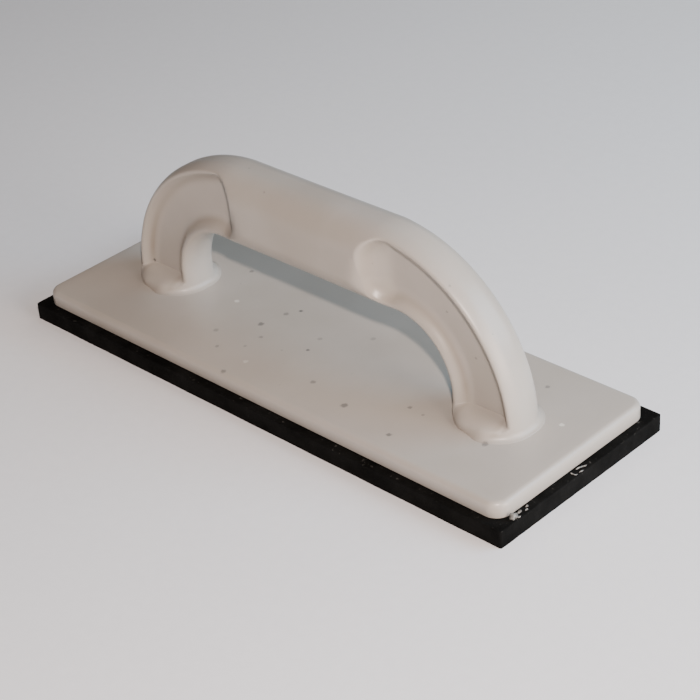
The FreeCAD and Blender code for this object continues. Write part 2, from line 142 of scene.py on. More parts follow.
class PocketSizes(bpy.types.PropertyGroup):
    outer_wall: length("Outer wall", "Wall between the pocket's rim and the outer line", 2.9)
    inner_wall: length("Inner wall", "Wall between the pocket's rim and the inner line", 3.1)
    floor: length("Floor", "Distance of the pocket's floor from the middle plane", 4.3)
    floor_round: length("Floor rounding", "Radius of the hollow between floor and wall", 7.0)
    wall_lean: FloatProperty(
        name="Wall lean", description="Angle of the pocket's wall to the handle's side",
        default=math.radians(50), min=0.2, max=1.5, subtype="ANGLE", unit="ROTATION",
    )
    nose_x: length("Nose", "Distance of the pocket's upper end from the middle", 37.6)
    nose_round: length("Nose rounding", "Radius of the pocket's upper end", 13.0)
    nose_lean: FloatProperty(
        name="Nose lean", description="Angle of the pocket's wall round its upper end",
        default=math.radians(66), min=0.2, max=1.5, subtype="ANGLE", unit="ROTATION",
    )
    nose_hollow: length("Nose hollow", "Radius of the hollow under the nose's wall", 1.6)
    bowl_rise: length("Bowl rise", "How far the floor rises towards the nose", 7.0)
    bowl_run: length("Bowl run", "Length over which the floor rises", 13.0)
    rim: length("Rim", "Softness of the pocket's rim", 3.6)
    nose_rim: length("Nose rim", "Softness of the rim round the nose", 3.9)
    inner_rim: length("Inner rim", "Softness of the rim beside the finger gap", 5.0)
    toe_height: length("Toe height", "Height of the domed toe inside the pocket's foot", 5.7)
    toe_bulge: length("Toe bulge", "How far the toe stands out in front of the leg's side", 1.5)


class FloatColours(bpy.types.PropertyGroup):
    plastic: colour("Plastic", "White moulded plastic", "#b4aea5")
    rubber: colour("Rubber", "Black rubber sheet", "#0c0c0b")
    adhesive: colour("Adhesive", "Dried contact adhesive", "#96958f")
    dirt: colour("Dirt", "Dark specks on the plastic", "#45484a")
    # Brownish tint: dirt and painted shade in the pocket hollows and at the toe's crease, yellowing
    # and painted warm light on the grip's front and the plate's front-left.
    grime_and_painted_shade: colour("Grime", "Brownish film in the hollows and on the grip", "#7d6c58")


# ------------------------------------------------------------------ meshes
def shell(points):
    """Vertices and faces of a closed tube: rows of points, each row a closed loop, with a fan of
    triangles from the middle of the first and of the last row. Faces point outwards."""
    rows, columns, _ = points.shape
    vertices = np.vstack([points.reshape(-1, 3), points[0].mean(axis=0), points[-1].mean(axis=0)])
    row = np.arange(rows - 1)[:, None] * columns
    here = np.arange(columns)
    there = (here + 1) % columns
    below = row + columns
    quads = np.stack([row + here, row + there, below + there, below + here], axis=-1)
    quads = quads.reshape(-1, 4)
    last_row, middle = (rows - 1) * columns, np.full(columns, rows * columns)
    start = np.stack([there, here, middle], axis=-1)
    end = np.stack([last_row + here, last_row + there, middle + 1], axis=-1)
    a, b, c, d = (vertices[quads[:, k]] for k in range(4))
    if (a * np.cross(b, c) + a * np.cross(c, d)).sum() < 0:
        quads, start, end = quads[:, ::-1], start[:, ::-1], end[:, ::-1]
    return vertices, quads, np.vstack([start, end])


def surface_piece(name, shells, node, material):
    """One smooth object of one or more closed tubes. It rides on the root and replaces a node."""
    vertices, faces = np.empty((0, 3)), []
    for points in shells:
        more, quads, triangles = shell(points)
        faces += (quads + len(vertices)).tolist() + (triangles + len(vertices)).tolist()
        vertices = np.vstack([vertices, more])
    mesh = bpy.data.meshes.new(name)
    mesh.from_pydata(vertices.tolist(), [], faces)
    mesh.polygons.foreach_set("use_smooth", np.ones(len(faces), dtype=bool))
    mesh.materials.append(material)
    mesh.update()
    piece = bpy.data.objects.new(name, mesh)
    bpy.context.scene.collection.objects.link(piece)
    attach(piece, "root")
    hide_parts(node)
    return piece


def soft_min(a, b, width):
    """The smaller of two values, blended over a width so that the crease is rounded."""
    t = np.clip(0.5 + 0.5 * (b - a) / width, 0.0, 1.0)
    return b * (1 - t) + a * t - width * t * (1 - t)


def soft_max(a, b, width):
    """The larger of two values, blended over a width."""
    return -soft_min(-a, -b, width)


def smooth_step(share):
    """0 below 0, 1 above 1, and 3s^2 - 2s^3 between."""
    share = np.clip(share, 0, 1)
    return share * share * (3 - 2 * share)


def rounded_outline(half_x, half_y, radius, per_corner=14, per_side=30):
    """A rectangle with quarter-circle corners, run round once anticlockwise from +X."""
    corners = []
    for k, (sx, sy) in enumerate(((1, 1), (-1, 1), (-1, -1), (1, -1))):
        angle = np.radians(np.linspace(90 * k, 90 * k + 90, per_corner))
        x = sx * (half_x - radius) + radius * np.cos(angle)
        y = sy * (half_y - radius) + radius * np.sin(angle)
        corners.append(np.stack([x, y], axis=-1))
    pieces = []
    for k in range(4):
        pieces.append(corners[k])
        a, b = corners[k][-1], corners[(k + 1) % 4][0]
        t = np.linspace(0, 1, per_side + 2)[1:-1, None]
        pieces.append(a + (b - a) * t)
    return np.vstack(pieces)


def slab(half_x, half_y, radius, low, high, low_round, high_round, ragged=0.0):
    """A flat slab with rounded upright corners: loops that start inside the underside, climb the
    side with a quarter-round at each edge and close over the top. An edge's loop is the outline
    moved inwards by r(1 - cos a) and upwards by r sin a. A ragged edge wanders inwards by up to
    its amount, as the sum of two sines of the distance round the slab and of the height."""
    steps = np.radians(np.linspace(0, 90, 9))
    insets, heights = [], []
    for share in (0.02, 0.5, 0.9):
        insets.append(("scale", share, low_round))
        heights.append(low)
    for angle in steps:
        insets.append(("inset", low_round * (1 - np.sin(angle)), 0))
        heights.append(low + low_round * (1 - np.cos(angle)))
    for angle in steps:
        insets.append(("inset", high_round * (1 - np.cos(angle)), 0))
        heights.append(high - high_round * (1 - np.sin(angle)))
    for share in (0.97, 0.9, 0.8, 0.65, 0.5, 0.3, 0.1, 0.02):
        insets.append(("scale", share, high_round))
        heights.append(high)
    loops = []
    for (kind, amount, edge), z in zip(insets, heights):
        inset = amount if kind == "inset" else edge
        loop = rounded_outline(half_x - inset, half_y - inset, max(radius - inset, 0.2 * MM))
        if kind == "scale":
            loop = loop * amount
        run = (loop[:, 0] - loop[:, 1]) / MM
        drift = (2 + np.sin(0.71 * run + 400 * z) + np.sin(1.93 * run + 900 * z)) / 4
        loop = loop * (1 - ragged * drift[:, None] / np.array([half_x, half_y]))
        loops.append(np.column_stack([loop, np.full(len(loop), z)]))
    return np.stack(loops)


# ------------------------------------------------------------------ the arched handle
def toe_profile(height, pocket):
    """How much of the foot's full section the toe fills at a height above the plate: a
    superellipse, upright at the plate and flat at the toe's top."""
    share = np.clip(height / pocket.toe_height, 0, 1)
    return (1 - share ** TOE_RISE_POWER) ** (1 / TOE_FILL_POWER)


def arch_lines(body, pocket):
    """Outer and inner line of the arch, from foot to foot, with matching rows.

    Each half has a straight grip, a bend of one radius outside and another inside, and a leg
    that stands upright. In the bend both lines turn through the same share of their angle, down
    to where the rows become level cuts. On the toe they stand at even steps of its profile. The
    last rows swell by the flare r - sqrt(r^2 - (r - h)^2) at a height h above the plate.
    """
    top = BODY_HIGH[2]
    ox, oz = body.leg_outer - body.outer_bend, top - body.outer_bend
    ix, iz = body.leg_inner - body.inner_bend, body.grip_under - body.inner_bend
    share = np.concatenate([np.linspace(0, 0.8, 9, endpoint=False), np.linspace(0.8, 1.0, 18)])
    grip_o = np.stack([ox * share, np.full(len(share), top)], axis=-1)
    grip_i = np.stack([ix * share, np.full(len(share), body.grip_under)], axis=-1)
    t = np.linspace(0, 1, BEND_ROWS)[1:]
    ro, ri = body.outer_bend, body.inner_bend
    low_o = math.asin((LEVEL_BELOW - oz) / ro)
    low_i = math.asin((LEVEL_BELOW - iz) / ri)
    ao = math.pi / 2 + (low_o - math.pi / 2) * t
    ai = math.pi / 2 + (low_i - math.pi / 2) * t
    bend_o = np.stack([ox + ro * np.cos(ao), oz + ro * np.sin(ao)], axis=-1)
    bend_i = np.stack([ix + ri * np.cos(ai), iz + ri * np.sin(ai)], axis=-1)
    flare = body.foot_flare
    foot = body.plate_top
    filled = np.linspace(0.05, 1, 36)
    dome = pocket.toe_height * (1 - filled ** TOE_FILL_POWER) ** (1 / TOE_RISE_POWER)
    fillet = flare * (1 - np.sin(np.radians(np.linspace(0, 90, 9))))
    z = np.unique(np.concatenate([
        np.linspace(LEVEL_BELOW, foot + pocket.toe_height + 0.1 * MM, 12)[1:],
        foot + dome, foot + fillet[:-1], [foot - 0.8 * MM],
    ]).round(6))[::-1]
    arc_o = ox + np.sqrt(np.maximum(ro ** 2 - (z - oz) ** 2, 0))
    arc_i = ix + np.sqrt(np.maximum(ri ** 2 - (z - iz) ** 2, 0))
    leg_ox = np.where(z > oz, arc_o, body.leg_outer)
    leg_ix = np.where(z > iz, arc_i, body.leg_inner)
    outer = np.vstack([grip_o, bend_o, np.stack([leg_ox, z], axis=-1)])
    inner = np.vstack([grip_i, bend_i, np.stack([leg_ix, z], axis=-1)])
    above = np.clip(outer[:, 1] - foot, 0, flare)
    swell = flare - np.sqrt(flare ** 2 - (flare - above) ** 2)
    swell = np.where(inner[:, 1] < foot + flare, swell, 0.0)
    mirror = np.array([-1.0, 1.0])
    outer = np.vstack([(outer * mirror)[::-1], outer[1:]])
    inner = np.vstack([(inner * mirror)[::-1], inner[1:]])
    swell = np.concatenate([swell[::-1], swell[1:]])
    return outer, inner, swell


def section_shares():
    """Once round a rounded rectangle. Each point is (core share, rounding share) for both axes:
    a coordinate is core * (half - radius) + rounding * radius. Points crowd where walls stand."""
    angle = np.radians(np.concatenate([
        np.linspace(90, 60, 10, endpoint=False),
        np.linspace(60, 34, 16, endpoint=False),
        np.linspace(34, 0, 9),
    ]))
    one = np.ones_like(angle)
    flat_out = np.linspace(0, 1, 3, endpoint=False)
    flat_side = np.linspace(1, 0, 10)[1:]
    quarter = np.vstack([
        np.stack([np.ones(3), np.ones(3), flat_out, np.zeros(3)], axis=-1),
        np.stack([one, np.sin(angle), one, np.cos(angle)], axis=-1),
        np.stack([flat_side, np.zeros(9), np.ones(9), np.ones(9)], axis=-1),
    ])
    down = np.array([-1.0, -1.0, 1.0, 1.0])
    half = np.vstack([quarter, (quarter * down)[::-1][1:]])
    left = np.array([1.0, 1.0, -1.0, -1.0])
    return np.vstack([half, (half * left)[::-1][1:-1]])


def pocket_depth(x, z, body, pocket):
    """Distance of the pocket's surface from the middle plane at each place of the side view, the
    softness of its rim there, and how near the place is to the hollow under its wall.

    d is how far a place lies inside the pocket's outline, where the wall would meet the handle's
    flat side: the least of its distances from the outline's outer line, inner line and nose, with
    rounded corners at the nose. From the flat floor the surface rises as an arc until it leans at
    the wall's angle, and goes on straight. Round the nose the wall is steeper and its hollow
    tighter, and the floor rises to meet it as a bowl, by bowl_rise * (1 - d / bowl_run)^2.
    """
    top = BODY_HIGH[2]
    ox, oz = body.leg_outer - body.outer_bend, top - body.outer_bend
    ix, iz = body.leg_inner - body.inner_bend, body.grip_under - body.inner_bend

    def section_rise(wall):
        """How much lower than the flat side the handle's skin is, a wall's width in."""
        r = body.edge_round
        return r - math.sqrt(r ** 2 - max(r - wall, 0) ** 2)

    x = np.abs(x)
    from_nose = x - pocket.nose_x
    at_nose = 1 - smooth_step((from_nose - NOSE_END) / NOSE_FADE)
    lean = pocket.wall_lean + (pocket.nose_lean - pocket.wall_lean) * at_nose
    slope = np.tan(lean)
    from_outer = np.where(
        (x > ox) & (z > oz), body.outer_bend - np.hypot(x - ox, z - oz),
        np.where(z <= oz, body.leg_outer - x, top - z),
    ) - pocket.outer_wall + section_rise(pocket.outer_wall) / slope
    from_inner = np.where(
        (x > ix) & (z > iz), np.hypot(x - ix, z - iz) - body.inner_bend,
        np.where(z <= iz, x - body.leg_inner, z - body.grip_under),
    ) - pocket.inner_wall + section_rise(pocket.inner_wall) / slope
    r = pocket.nose_round
    d_top = np.where(
        (from_nose < r) & (from_outer < r),
        r - np.hypot(r - from_nose, r - from_outer), np.minimum(from_nose, from_outer),
    )
    d_low = np.where(
        (from_nose < r) & (from_inner < r),
        r - np.hypot(r - from_nose, r - from_inner), np.minimum(from_nose, from_inner),
    )
    d = np.minimum(d_top, d_low)
    beside = np.clip((from_inner - np.minimum(from_outer, from_nose)) / RIM_CHANGE + 0.5, 0, 1)
    softness = pocket.inner_rim + (pocket.rim - pocket.inner_rim) * beside
    softness = softness + (pocket.nose_rim - softness) * at_nose
    hollow = pocket.floor_round + (pocket.nose_hollow - pocket.floor_round) * at_nose
    bowl = (1 - np.clip(d / pocket.bowl_run, 0, 1)) ** 2
    floor = pocket.floor + at_nose * pocket.bowl_rise * bowl
    arc_run, arc_rise = hollow * np.sin(lean), hollow * (1 - np.cos(lean))
    reach = arc_run + np.maximum(body.half_width - floor - arc_rise, 0) / slope
    short = np.maximum(reach - d, 0)
    arc = hollow - np.sqrt(hollow ** 2 - np.minimum(short, arc_run) ** 2)
    rise = arc + np.maximum(short - arc_run, 0) * slope
    # A band along the hollow under the wall, later tinted as dirt and painted shade.
    under_wall = np.exp(-((short - 0.75 * arc_run) / DIRT_AND_SHADE_WIDTH) ** 2)
    return floor + rise, softness, under_wall


def handle_points(body, pocket):
    """The handle's skin: a rounded rectangle between the arch's two lines, carried from foot to
    foot. Its sides are drawn in to the pockets' surface wherever that lies deeper, and pushed out
    again to the toe at the foot, which is the full section times the toe's profile and stands out
    a little in the leg's middle. The flare at the plate is full on the side that faces the end.
    Returns the points and a mask, 0 to 1, of dirt and painted shade in the hollows under the
    pocket walls, mostly low on the legs, and in the crease where the toe meets the plate."""
    outer, inner, swell = arch_lines(body, pocket)
    shares = section_shares()
    centre = (outer + inner) / 2
    across = outer - inner
    depth = np.linalg.norm(across, axis=1)
    normal = across / depth[:, None]
    radius = body.edge_round
    a = shares[None, :, 0] * (depth[:, None] / 2 - radius) + shares[None, :, 1] * radius
    b = shares[None, :, 2] * (body.half_width - radius) + shares[None, :, 3] * radius
    b = np.broadcast_to(b, a.shape)
    facing = a * normal[:, 0:1] / np.hypot(a, b)
    flare = swell[:, None] * smooth_step((facing + 0.35) / 0.9)
    a = a + shares[None, :, 1] * flare
    b = b + shares[None, :, 3] * flare
    x = centre[:, 0:1] + a * normal[:, 0:1]
    z = centre[:, 1:2] + a * normal[:, 1:2]
    limit, softness, under_wall = pocket_depth(x, z, body, pocket)
    height = z - body.plate_top
    limit = limit + FOOT_FILL * (1 - smooth_step(height / FOOT_FILL_HEIGHT))
    y = soft_min(np.abs(b), limit, softness)
    from_axis = np.abs(np.abs(x) - (body.leg_outer + body.leg_inner) / 2)
    bulge = pocket.toe_bulge * (1 - smooth_step((from_axis - TOE_FULL) / TOE_FADE))
    toe = np.abs(b) + np.where(np.abs(b) > TOE_BULGE_FROM, bulge, 0)
    toe = np.where(height < pocket.toe_height, toe * toe_profile(height, pocket), TOE_ABSENT)
    in_pocket = np.clip((np.abs(b) - y) / (1.0 * MM), 0, 1)
    filled = np.minimum(soft_max(y, toe, TOE_HOLLOW), np.maximum(np.abs(b) + bulge, y))
    y = np.where(height < pocket.toe_height + 2 * MM, filled, y)
    # Painted shade mixed with dirt: a dark line where the toe meets the plate, and a band in the
    # hollow under each pocket wall.
    crease = np.exp(-np.maximum(height, 0) / (0.7 * MM)) * bulge / pocket.toe_bulge
    up_the_leg = np.clip(1 - (height - 20 * MM) / (45 * MM), 0.35, 1)
    near_plate = np.clip(height / (14 * MM), 0.35, 1)
    grime_and_painted_shade = np.clip(under_wall * in_pocket * up_the_leg * near_plate + 0.6 * crease, 0, 1)
    return np.stack([x, np.sign(b) * y, z], axis=-1), grime_and_painted_shade


# ------------------------------------------------------------------ squeezed-out adhesive
def adhesive_lump(path, radii, turn):
    """A lumpy string of dried adhesive along a path: a circle is carried along it, whose radius is
    the given one, closed at both ends as a rounded tip, times 1 plus three sines of the angle
    round it and of the distance along it. It never sinks under the sole's upper face."""
    path, radii = np.array(path) * MM, np.array(radii) * MM
    knots = np.linspace(0, 1, len(path))
    along = (1 - np.cos(np.linspace(0, math.pi, 36))) / 2
    centre = np.stack([np.interp(along, knots, path[:, k]) for k in range(3)], axis=-1)
    radius = np.interp(along, knots, radii) * np.sqrt(np.clip(1 - (2 * along - 1) ** 4, 0.004, 1))
    heading = np.gradient(centre, axis=0)
    heading /= np.linalg.norm(heading, axis=1)[:, None]
    side = np.cross(heading, (0.0, 0.0, 1.0))
    side /= np.linalg.norm(side, axis=1)[:, None]
    over = np.cross(side, heading)
    angle = np.linspace(0, 2 * math.pi, 20, endpoint=False)[None, :]
    run = along[:, None] * len(path)
    lumps = 1 + 0.20 * np.sin(2 * angle + 3.1 * run + turn) + 0.13 * np.sin(3 * angle - 4.7 * run)
    lumps = (lumps + 0.08 * np.sin(5 * angle + 7.3 * run + 2 * turn)) * radius[:, None]
    points = centre[:, None] + lumps[..., None] * (
        np.cos(angle)[..., None] * side[:, None] + np.sin(angle)[..., None] * over[:, None])
    points[..., 2] = np.maximum(points[..., 2], SOLE_HIGH[2] - 0.05 * MM)
    points[..., 0] = np.clip(points[..., 0], BODY_HIGH[0] - 0.1 * MM, SOLE_HIGH[0])
    return points


# Each lump: its path in millimetres, the radii along it, and a number that turns its bumps.
CORNER_LUMPS = (
    (((137.7, -42.0, 8.6), (138.1, -40.6, 9.1), (138.3, -39.1, 8.9), (137.7, -37.4, 8.5)),
     (0.6, 1.35, 1.0, 0.4), 0.0),
    (((137.3, -36.9, 8.3), (137.6, -35.7, 8.6), (137.3, -34.5, 8.3)), (0.25, 0.6, 0.25), 1.3),
    (((138.5, -33.7, 8.2), (138.4, -32.9, 8.3), (138.6, -32.2, 8.2)), (0.2, 0.32, 0.2), 2.1),
    (((137.2, -32.0, 8.3), (137.4, -31.2, 8.5), (137.2, -30.5, 8.3)), (0.2, 0.42, 0.2), 3.7),
    (((139.1, -38.9, 8.1), (139.3, -38.0, 8.2), (139.2, -37.2, 8.1)), (0.18, 0.3, 0.18), 5.2),
)
END_STRANDS = (
    (((137.2, -4.8, 8.8), (138.1, -4.6, 8.4), (139.1, -4.0, 8.2), (139.4, -3.0, 8.15)),
     (0.26, 0.26, 0.22, 0.14), 0.7),
    (((137.2, -1.6, 8.5), (137.6, 0.1, 8.7), (137.9, 1.6, 8.5), (138.4, 2.9, 8.3),
      (138.2, 4.2, 8.1)),
     (0.2, 0.3, 0.2, 0.3, 0.14), 1.9),
    (((139.0, -1.9, 8.15), (139.4, -0.6, 8.25), (139.5, 0.6, 8.15)), (0.14, 0.24, 0.12), 4.4),
)


# ------------------------------------------------------------------ materials
def add_node(tree, kind, inputs=None, **settings):
    """Adds one node: settings are its own, inputs are values or another node's output."""
    node = tree.nodes.new(kind)
    for key, value in settings.items():
        setattr(node, key, value)
    for key, value in (inputs or {}).items():
        socket = node.inputs[key]
        if isinstance(value, bpy.types.NodeSocket):
            tree.links.new(value, socket)
        else:
            socket.default_value = value
    return node


def new_material(name):
    """An empty material with its shader and output, and Object coordinates to work from."""
    material = bpy.data.materials.new(name)
    material.use_nodes = True
    tree = material.node_tree
    tree.nodes.clear()
    shader = add_node(tree, "ShaderNodeBsdfPrincipled")
    add_node(tree, "ShaderNodeOutputMaterial", {"Surface": shader.outputs["BSDF"]})
    place = add_node(tree, "ShaderNodeTexCoord").outputs["Object"]
    return material, tree, shader, place


def stops(ramp, pairs):
    """Sets a colour ramp's stops from (position, linear colour) pairs."""
    elements = ramp.color_ramp.elements
    while len(elements) < len(pairs):
        elements.new(0.5)
    for element, (position, value) in zip(elements, pairs):
        element.position = position
        element.color = (*value, 1.0)


# Marks on the plastic: middle and radius in millimetres, and how strong it is.
SPECKS = (
    (-26.4, 10.8, 15.3, 1.16, 0.8), (-32.8, -7.6, 15.3, 1.9, 0.55), (-30, 5, 15.3, 1.59, 0.45),
    (-24.9, -15.2, 15.3, 1.3, 0.4), (-0.9, -10.3, 15.3, 1.16, 0.7), (-3.1, -0.8, 15.3, 1.45, 0.3),
    (15.3, 13, 15.3, 1.59, 0.3), (-45.2, -23.1, 15.3, 1.59, 0.35), (-35, -31.9, 15.3, 1.3, 0.4),
    (-25.2, -24.5, 15.3, 1.16, 0.3), (-18.1, -44, 15.3, 1.59, 0.5), (18.6, -26.8, 15.3, 1.59, 0.45),
    (41.2, -31.5, 15.3, 2.03, 0.6), (63.7, -16.2, 15.3, 1.3, 0.5), (70.1, -35.7, 15.3, 1.45, 0.6),
    (104.6, -17.2, 15.3, 1.89, 0.5), (98.3, 29.2, 15.3, 1.45, 0.45), (71.6, -17, 15.3, 1.01, 0.4),
    (9.5, -13.2, 57, 1.16, 0.9), (19.1, -13.4, 54, 0.87, 0.7), (-105.5, -4.5, 22.2, 1.45, 0.95),
    (76.2, -4.5, 59.3, 0.87, 0.4), (90.4, -4.4, 43.3, 0.87, 0.35), (40.5, -8, 71, 0.72, 0.5),
    (-2.4, -10.5, 85.5, 1.01, 0.4), (60, 31, 15.3, 1.74, 0.5), (-70, 22, 15.3, 1.45, 0.5),
    (12, 14, 66, 1.16, 0.6), (4.7, -14, 82, 0.9, 0.4), (19.5, -12, 86, 0.9, 0.45),
    (24, -12, 86, 0.8, 0.35),
)
FLECKS = (
    (-55.9, -0.4, 15.3, 1.5, 0.8), (120.1, 11.4, 15.3, 1.4, 0.9), (-16.0, -33.0, 15.3, 1.4, 0.5),
)
# Broad brownish patches on the grip's front face and the plate's front-left: yellowing, partly
# painted warm light from the front.
STAINS_AND_PAINTED_WARMTH = (
    (2.0, -13.0, 80.0, 26.0, 0.14), (27.0, -13.0, 76.0, 18.0, 0.10),
    (-80.0, -40.0, 15.3, 40.0, 0.12),
)


def spots(tree, place, marks):
    """The greatest of a set of soft round spots: each is its strength within 0.45 of its radius
    and falls smoothly to 0 at its radius."""
    total = 0.0
    for x, y, z, radius, strength in marks:
        away = add_node(tree, "ShaderNodeVectorMath", {0: place, 1: (x * MM, y * MM, z * MM)},
                        operation="DISTANCE")
        spot = add_node(tree, "ShaderNodeMapRange", {
            "Value": away.outputs["Value"], "From Min": 0.45 * radius * MM, "From Max": radius * MM,
            "To Min": strength, "To Max": 0.0,
        }, interpolation_type="SMOOTHSTEP")
        total = add_node(tree, "ShaderNodeMath", {0: total, 1: spot.outputs["Result"]},
                         operation="MAXIMUM").outputs[0]
    return total


def moulded_plastic(colours):
    """White structural plastic from a satin mould. The eye sees an even, softly shining skin with
    faint clouds of wear, dark specks and pale flecks of dust and paint, a brownish tint in the
    hollows that is dirt and painted shade, broad brownish patches on the grip's front and the
    plate's front-left that are yellowing and painted warm light, and a mould grain. The real grain
    is near 0.1 mm; it is drawn at about 1 mm."""
    material, tree, shader, place = new_material("moulded white plastic")
    base = np.array(colours.plastic)
    wobble = add_node(tree, "ShaderNodeTexNoise", {"Vector": place, "Scale": 900.0, "Detail": 2.0})
    shift = add_node(tree, "ShaderNodeVectorMath", {
        0: wobble.outputs["Color"], 1: (0.0014,) * 3, 2: (-0.0007,) * 3,
    }, operation="MULTIPLY_ADD")
    warped = add_node(tree, "ShaderNodeVectorMath", {
        0: place, 1: shift.outputs["Vector"],
    }, operation="ADD").outputs["Vector"]
    cloud = add_node(tree, "ShaderNodeTexNoise", {
        "Vector": place, "Scale": 28.0, "Detail": 5.0, "Roughness": 0.6,
    })
    wear = add_node(tree, "ShaderNodeValToRGB", {"Fac": cloud.outputs["Fac"]})
    stops(wear, [(0.30, tuple(base * (0.93, 0.92, 0.90))), (0.70, tuple(base * 1.01))])
    # Painted shade mixed with dirt: the handle's mask of the hollows under the pocket walls and of
    # the toe's crease.
    film = add_node(tree, "ShaderNodeAttribute", attribute_name="grime_and_painted_shade")
    patchy = add_node(tree, "ShaderNodeMapRange", {
        "Value": cloud.outputs["Fac"], "From Min": 0.3, "From Max": 0.7,
        "To Min": 0.30, "To Max": 0.62,
    })
    film = add_node(tree, "ShaderNodeMath", {
        0: film.outputs["Fac"], 1: patchy.outputs["Result"],
    }, operation="MULTIPLY")
    # Adds the broad patches on the grip's front and the plate's front-left, yellowing with painted
    # warm light.
    dirt_and_painted_shade = add_node(tree, "ShaderNodeMath", {
        0: film.outputs[0], 1: spots(tree, warped, STAINS_AND_PAINTED_WARMTH),
    }, operation="ADD")
    # Fine scattered specks, one in a few cells of 9 mm, for the sides that have no larger ones.
    cells = add_node(tree, "ShaderNodeTexVoronoi", {
        "Vector": warped, "Scale": 110.0, "Randomness": 1.0,
    })
    dot = add_node(tree, "ShaderNodeMapRange", {
        "Value": cells.outputs["Distance"], "From Min": 0.02, "From Max": 0.085,
        "To Min": 1.0, "To Max": 0.0,
    })
    chance = add_node(tree, "ShaderNodeSeparateColor", {"Color": cells.outputs["Color"]})
    few = add_node(tree, "ShaderNodeMapRange", {
        "Value": chance.outputs[0], "From Min": 0.66, "From Max": 0.95,
        "To Min": 0.0, "To Max": 0.5,
    })
    scatter = add_node(tree, "ShaderNodeMath", {
        0: dot.outputs["Result"], 1: few.outputs["Result"],
    }, operation="MULTIPLY")
    dark = add_node(tree, "ShaderNodeMath", {
        0: scatter.outputs[0], 1: spots(tree, warped, SPECKS),
    }, operation="MAXIMUM")
    skin = wear.outputs["Color"]
    flecks = spots(tree, warped, FLECKS)
    layers = (
        (dirt_and_painted_shade.outputs[0], colours.grime_and_painted_shade), (dark.outputs[0], colours.dirt),
        (flecks, linear("#dad6cc")),
    )
    for share, tint in layers:
        skin = add_node(tree, "ShaderNodeMix", {
            0: share, 6: skin, 7: (*tint, 1.0),
        }, data_type="RGBA").outputs[2]
    tree.links.new(skin, shader.inputs["Base Color"])
    gloss = add_node(tree, "ShaderNodeMapRange", {
        "Value": cloud.outputs["Fac"], "From Min": 0.3, "From Max": 0.7,
        "To Min": 0.30, "To Max": 0.40,
    })
    tree.links.new(gloss.outputs["Result"], shader.inputs["Roughness"])
    grain = add_node(tree, "ShaderNodeBump", {
        "Height": wobble.outputs["Fac"], "Strength": 0.06, "Distance": 0.0003,
    })
    tree.links.new(grain.outputs["Normal"], shader.inputs["Normal"])
    shader.inputs["IOR"].default_value = 1.5
    return material


def cut_rubber(colours):
    """Black cellular rubber sheet, cut with a knife. The eye sees a matt black with grey dust in
    clouds, a grain of torn cells near 0.7 mm, and pale nicks along the upper edge."""
    material, tree, shader, place = new_material("cut black rubber")
    base = np.array(colours.rubber)
    dust = add_node(tree, "ShaderNodeTexNoise", {
        "Vector": place, "Scale": 60.0, "Detail": 6.0, "Roughness": 0.65,
    })
    cloud = add_node(tree, "ShaderNodeValToRGB", {"Fac": dust.outputs["Fac"]})
    stops(cloud, [(0.35, tuple(base * 0.7)), (0.75, tuple(base * 2.0 + 0.003))])
    grain = add_node(tree, "ShaderNodeTexNoise", {"Vector": place, "Scale": 1400.0, "Detail": 3.0})
    height = add_node(tree, "ShaderNodeSeparateXYZ", {"Vector": place})
    edge = add_node(tree, "ShaderNodeMapRange", {
        "Value": height.outputs["Z"], "From Min": 6.6 * MM, "From Max": 7.9 * MM,
        "To Min": 0.0, "To Max": 1.0,
    })
    nick = add_node(tree, "ShaderNodeTexNoise", {
        "Vector": place, "Scale": 420.0, "Detail": 4.0, "Roughness": 0.7,
    })
    torn = add_node(tree, "ShaderNodeMapRange", {
        "Value": nick.outputs["Fac"], "From Min": 0.62, "From Max": 0.72,
        "To Min": 0.0, "To Max": 0.35,
    })
    share = add_node(tree, "ShaderNodeMath", {
        0: edge.outputs["Result"], 1: torn.outputs["Result"],
    }, operation="MULTIPLY")
    skin = add_node(tree, "ShaderNodeMix", {
        0: share.outputs[0], 6: cloud.outputs["Color"], 7: (*linear("#6d6b66"), 1.0),
    }, data_type="RGBA")
    tree.links.new(skin.outputs[2], shader.inputs["Base Color"])
    bump = add_node(tree, "ShaderNodeBump", {
        "Height": grain.outputs["Fac"], "Strength": 0.35, "Distance": 0.0003,
    })
    tree.links.new(bump.outputs["Normal"], shader.inputs["Normal"])
    shader.inputs["Roughness"].default_value = 0.8
    shader.inputs["Specular IOR Level"].default_value = 0.04
    shader.inputs["IOR"].default_value = 1.5
    return material


def dried_adhesive(colours):
    """Contact adhesive that squeezed out and dried. The eye sees lumpy, half glossy grey to
    off-white in patches near 3 mm, with a bumpy skin of the same pattern."""
    material, tree, shader, place = new_material("dried contact adhesive")
    base = np.array(colours.adhesive)
    patches = add_node(tree, "ShaderNodeTexNoise", {"Vector": place, "Scale": 350.0, "Detail": 4.0})
    ramp = add_node(tree, "ShaderNodeValToRGB", {"Fac": patches.outputs["Fac"]})
    stops(ramp, [(0.38, tuple(base * 0.30)), (0.62, tuple(base))])
    tree.links.new(ramp.outputs["Color"], shader.inputs["Base Color"])
    bump = add_node(tree, "ShaderNodeBump", {
        "Height": patches.outputs["Fac"], "Strength": 0.5, "Distance": 0.0006,
    })
    tree.links.new(bump.outputs["Normal"], shader.inputs["Normal"])
    shader.inputs["Roughness"].default_value = 0.45
    shader.inputs["IOR"].default_value = 1.48
    return material


def stage_paper():
    """Matt pale card under the object. The eye sees an even light grey with a faint 5 mm fibre."""
    material, tree, shader, place = new_material("pale studio card")
    fibre = add_node(tree, "ShaderNodeTexNoise", {"Vector": place, "Scale": 200.0, "Detail": 3.0})
    ramp = add_node(tree, "ShaderNodeValToRGB", {"Fac": fibre.outputs["Fac"]})
    stops(ramp, [(0.3, (0.90, 0.90, 0.90)), (0.7, (0.92, 0.92, 0.92))])
    tree.links.new(ramp.outputs["Color"], shader.inputs["Base Color"])
    shader.inputs["Roughness"].default_value = 0.9
    return material


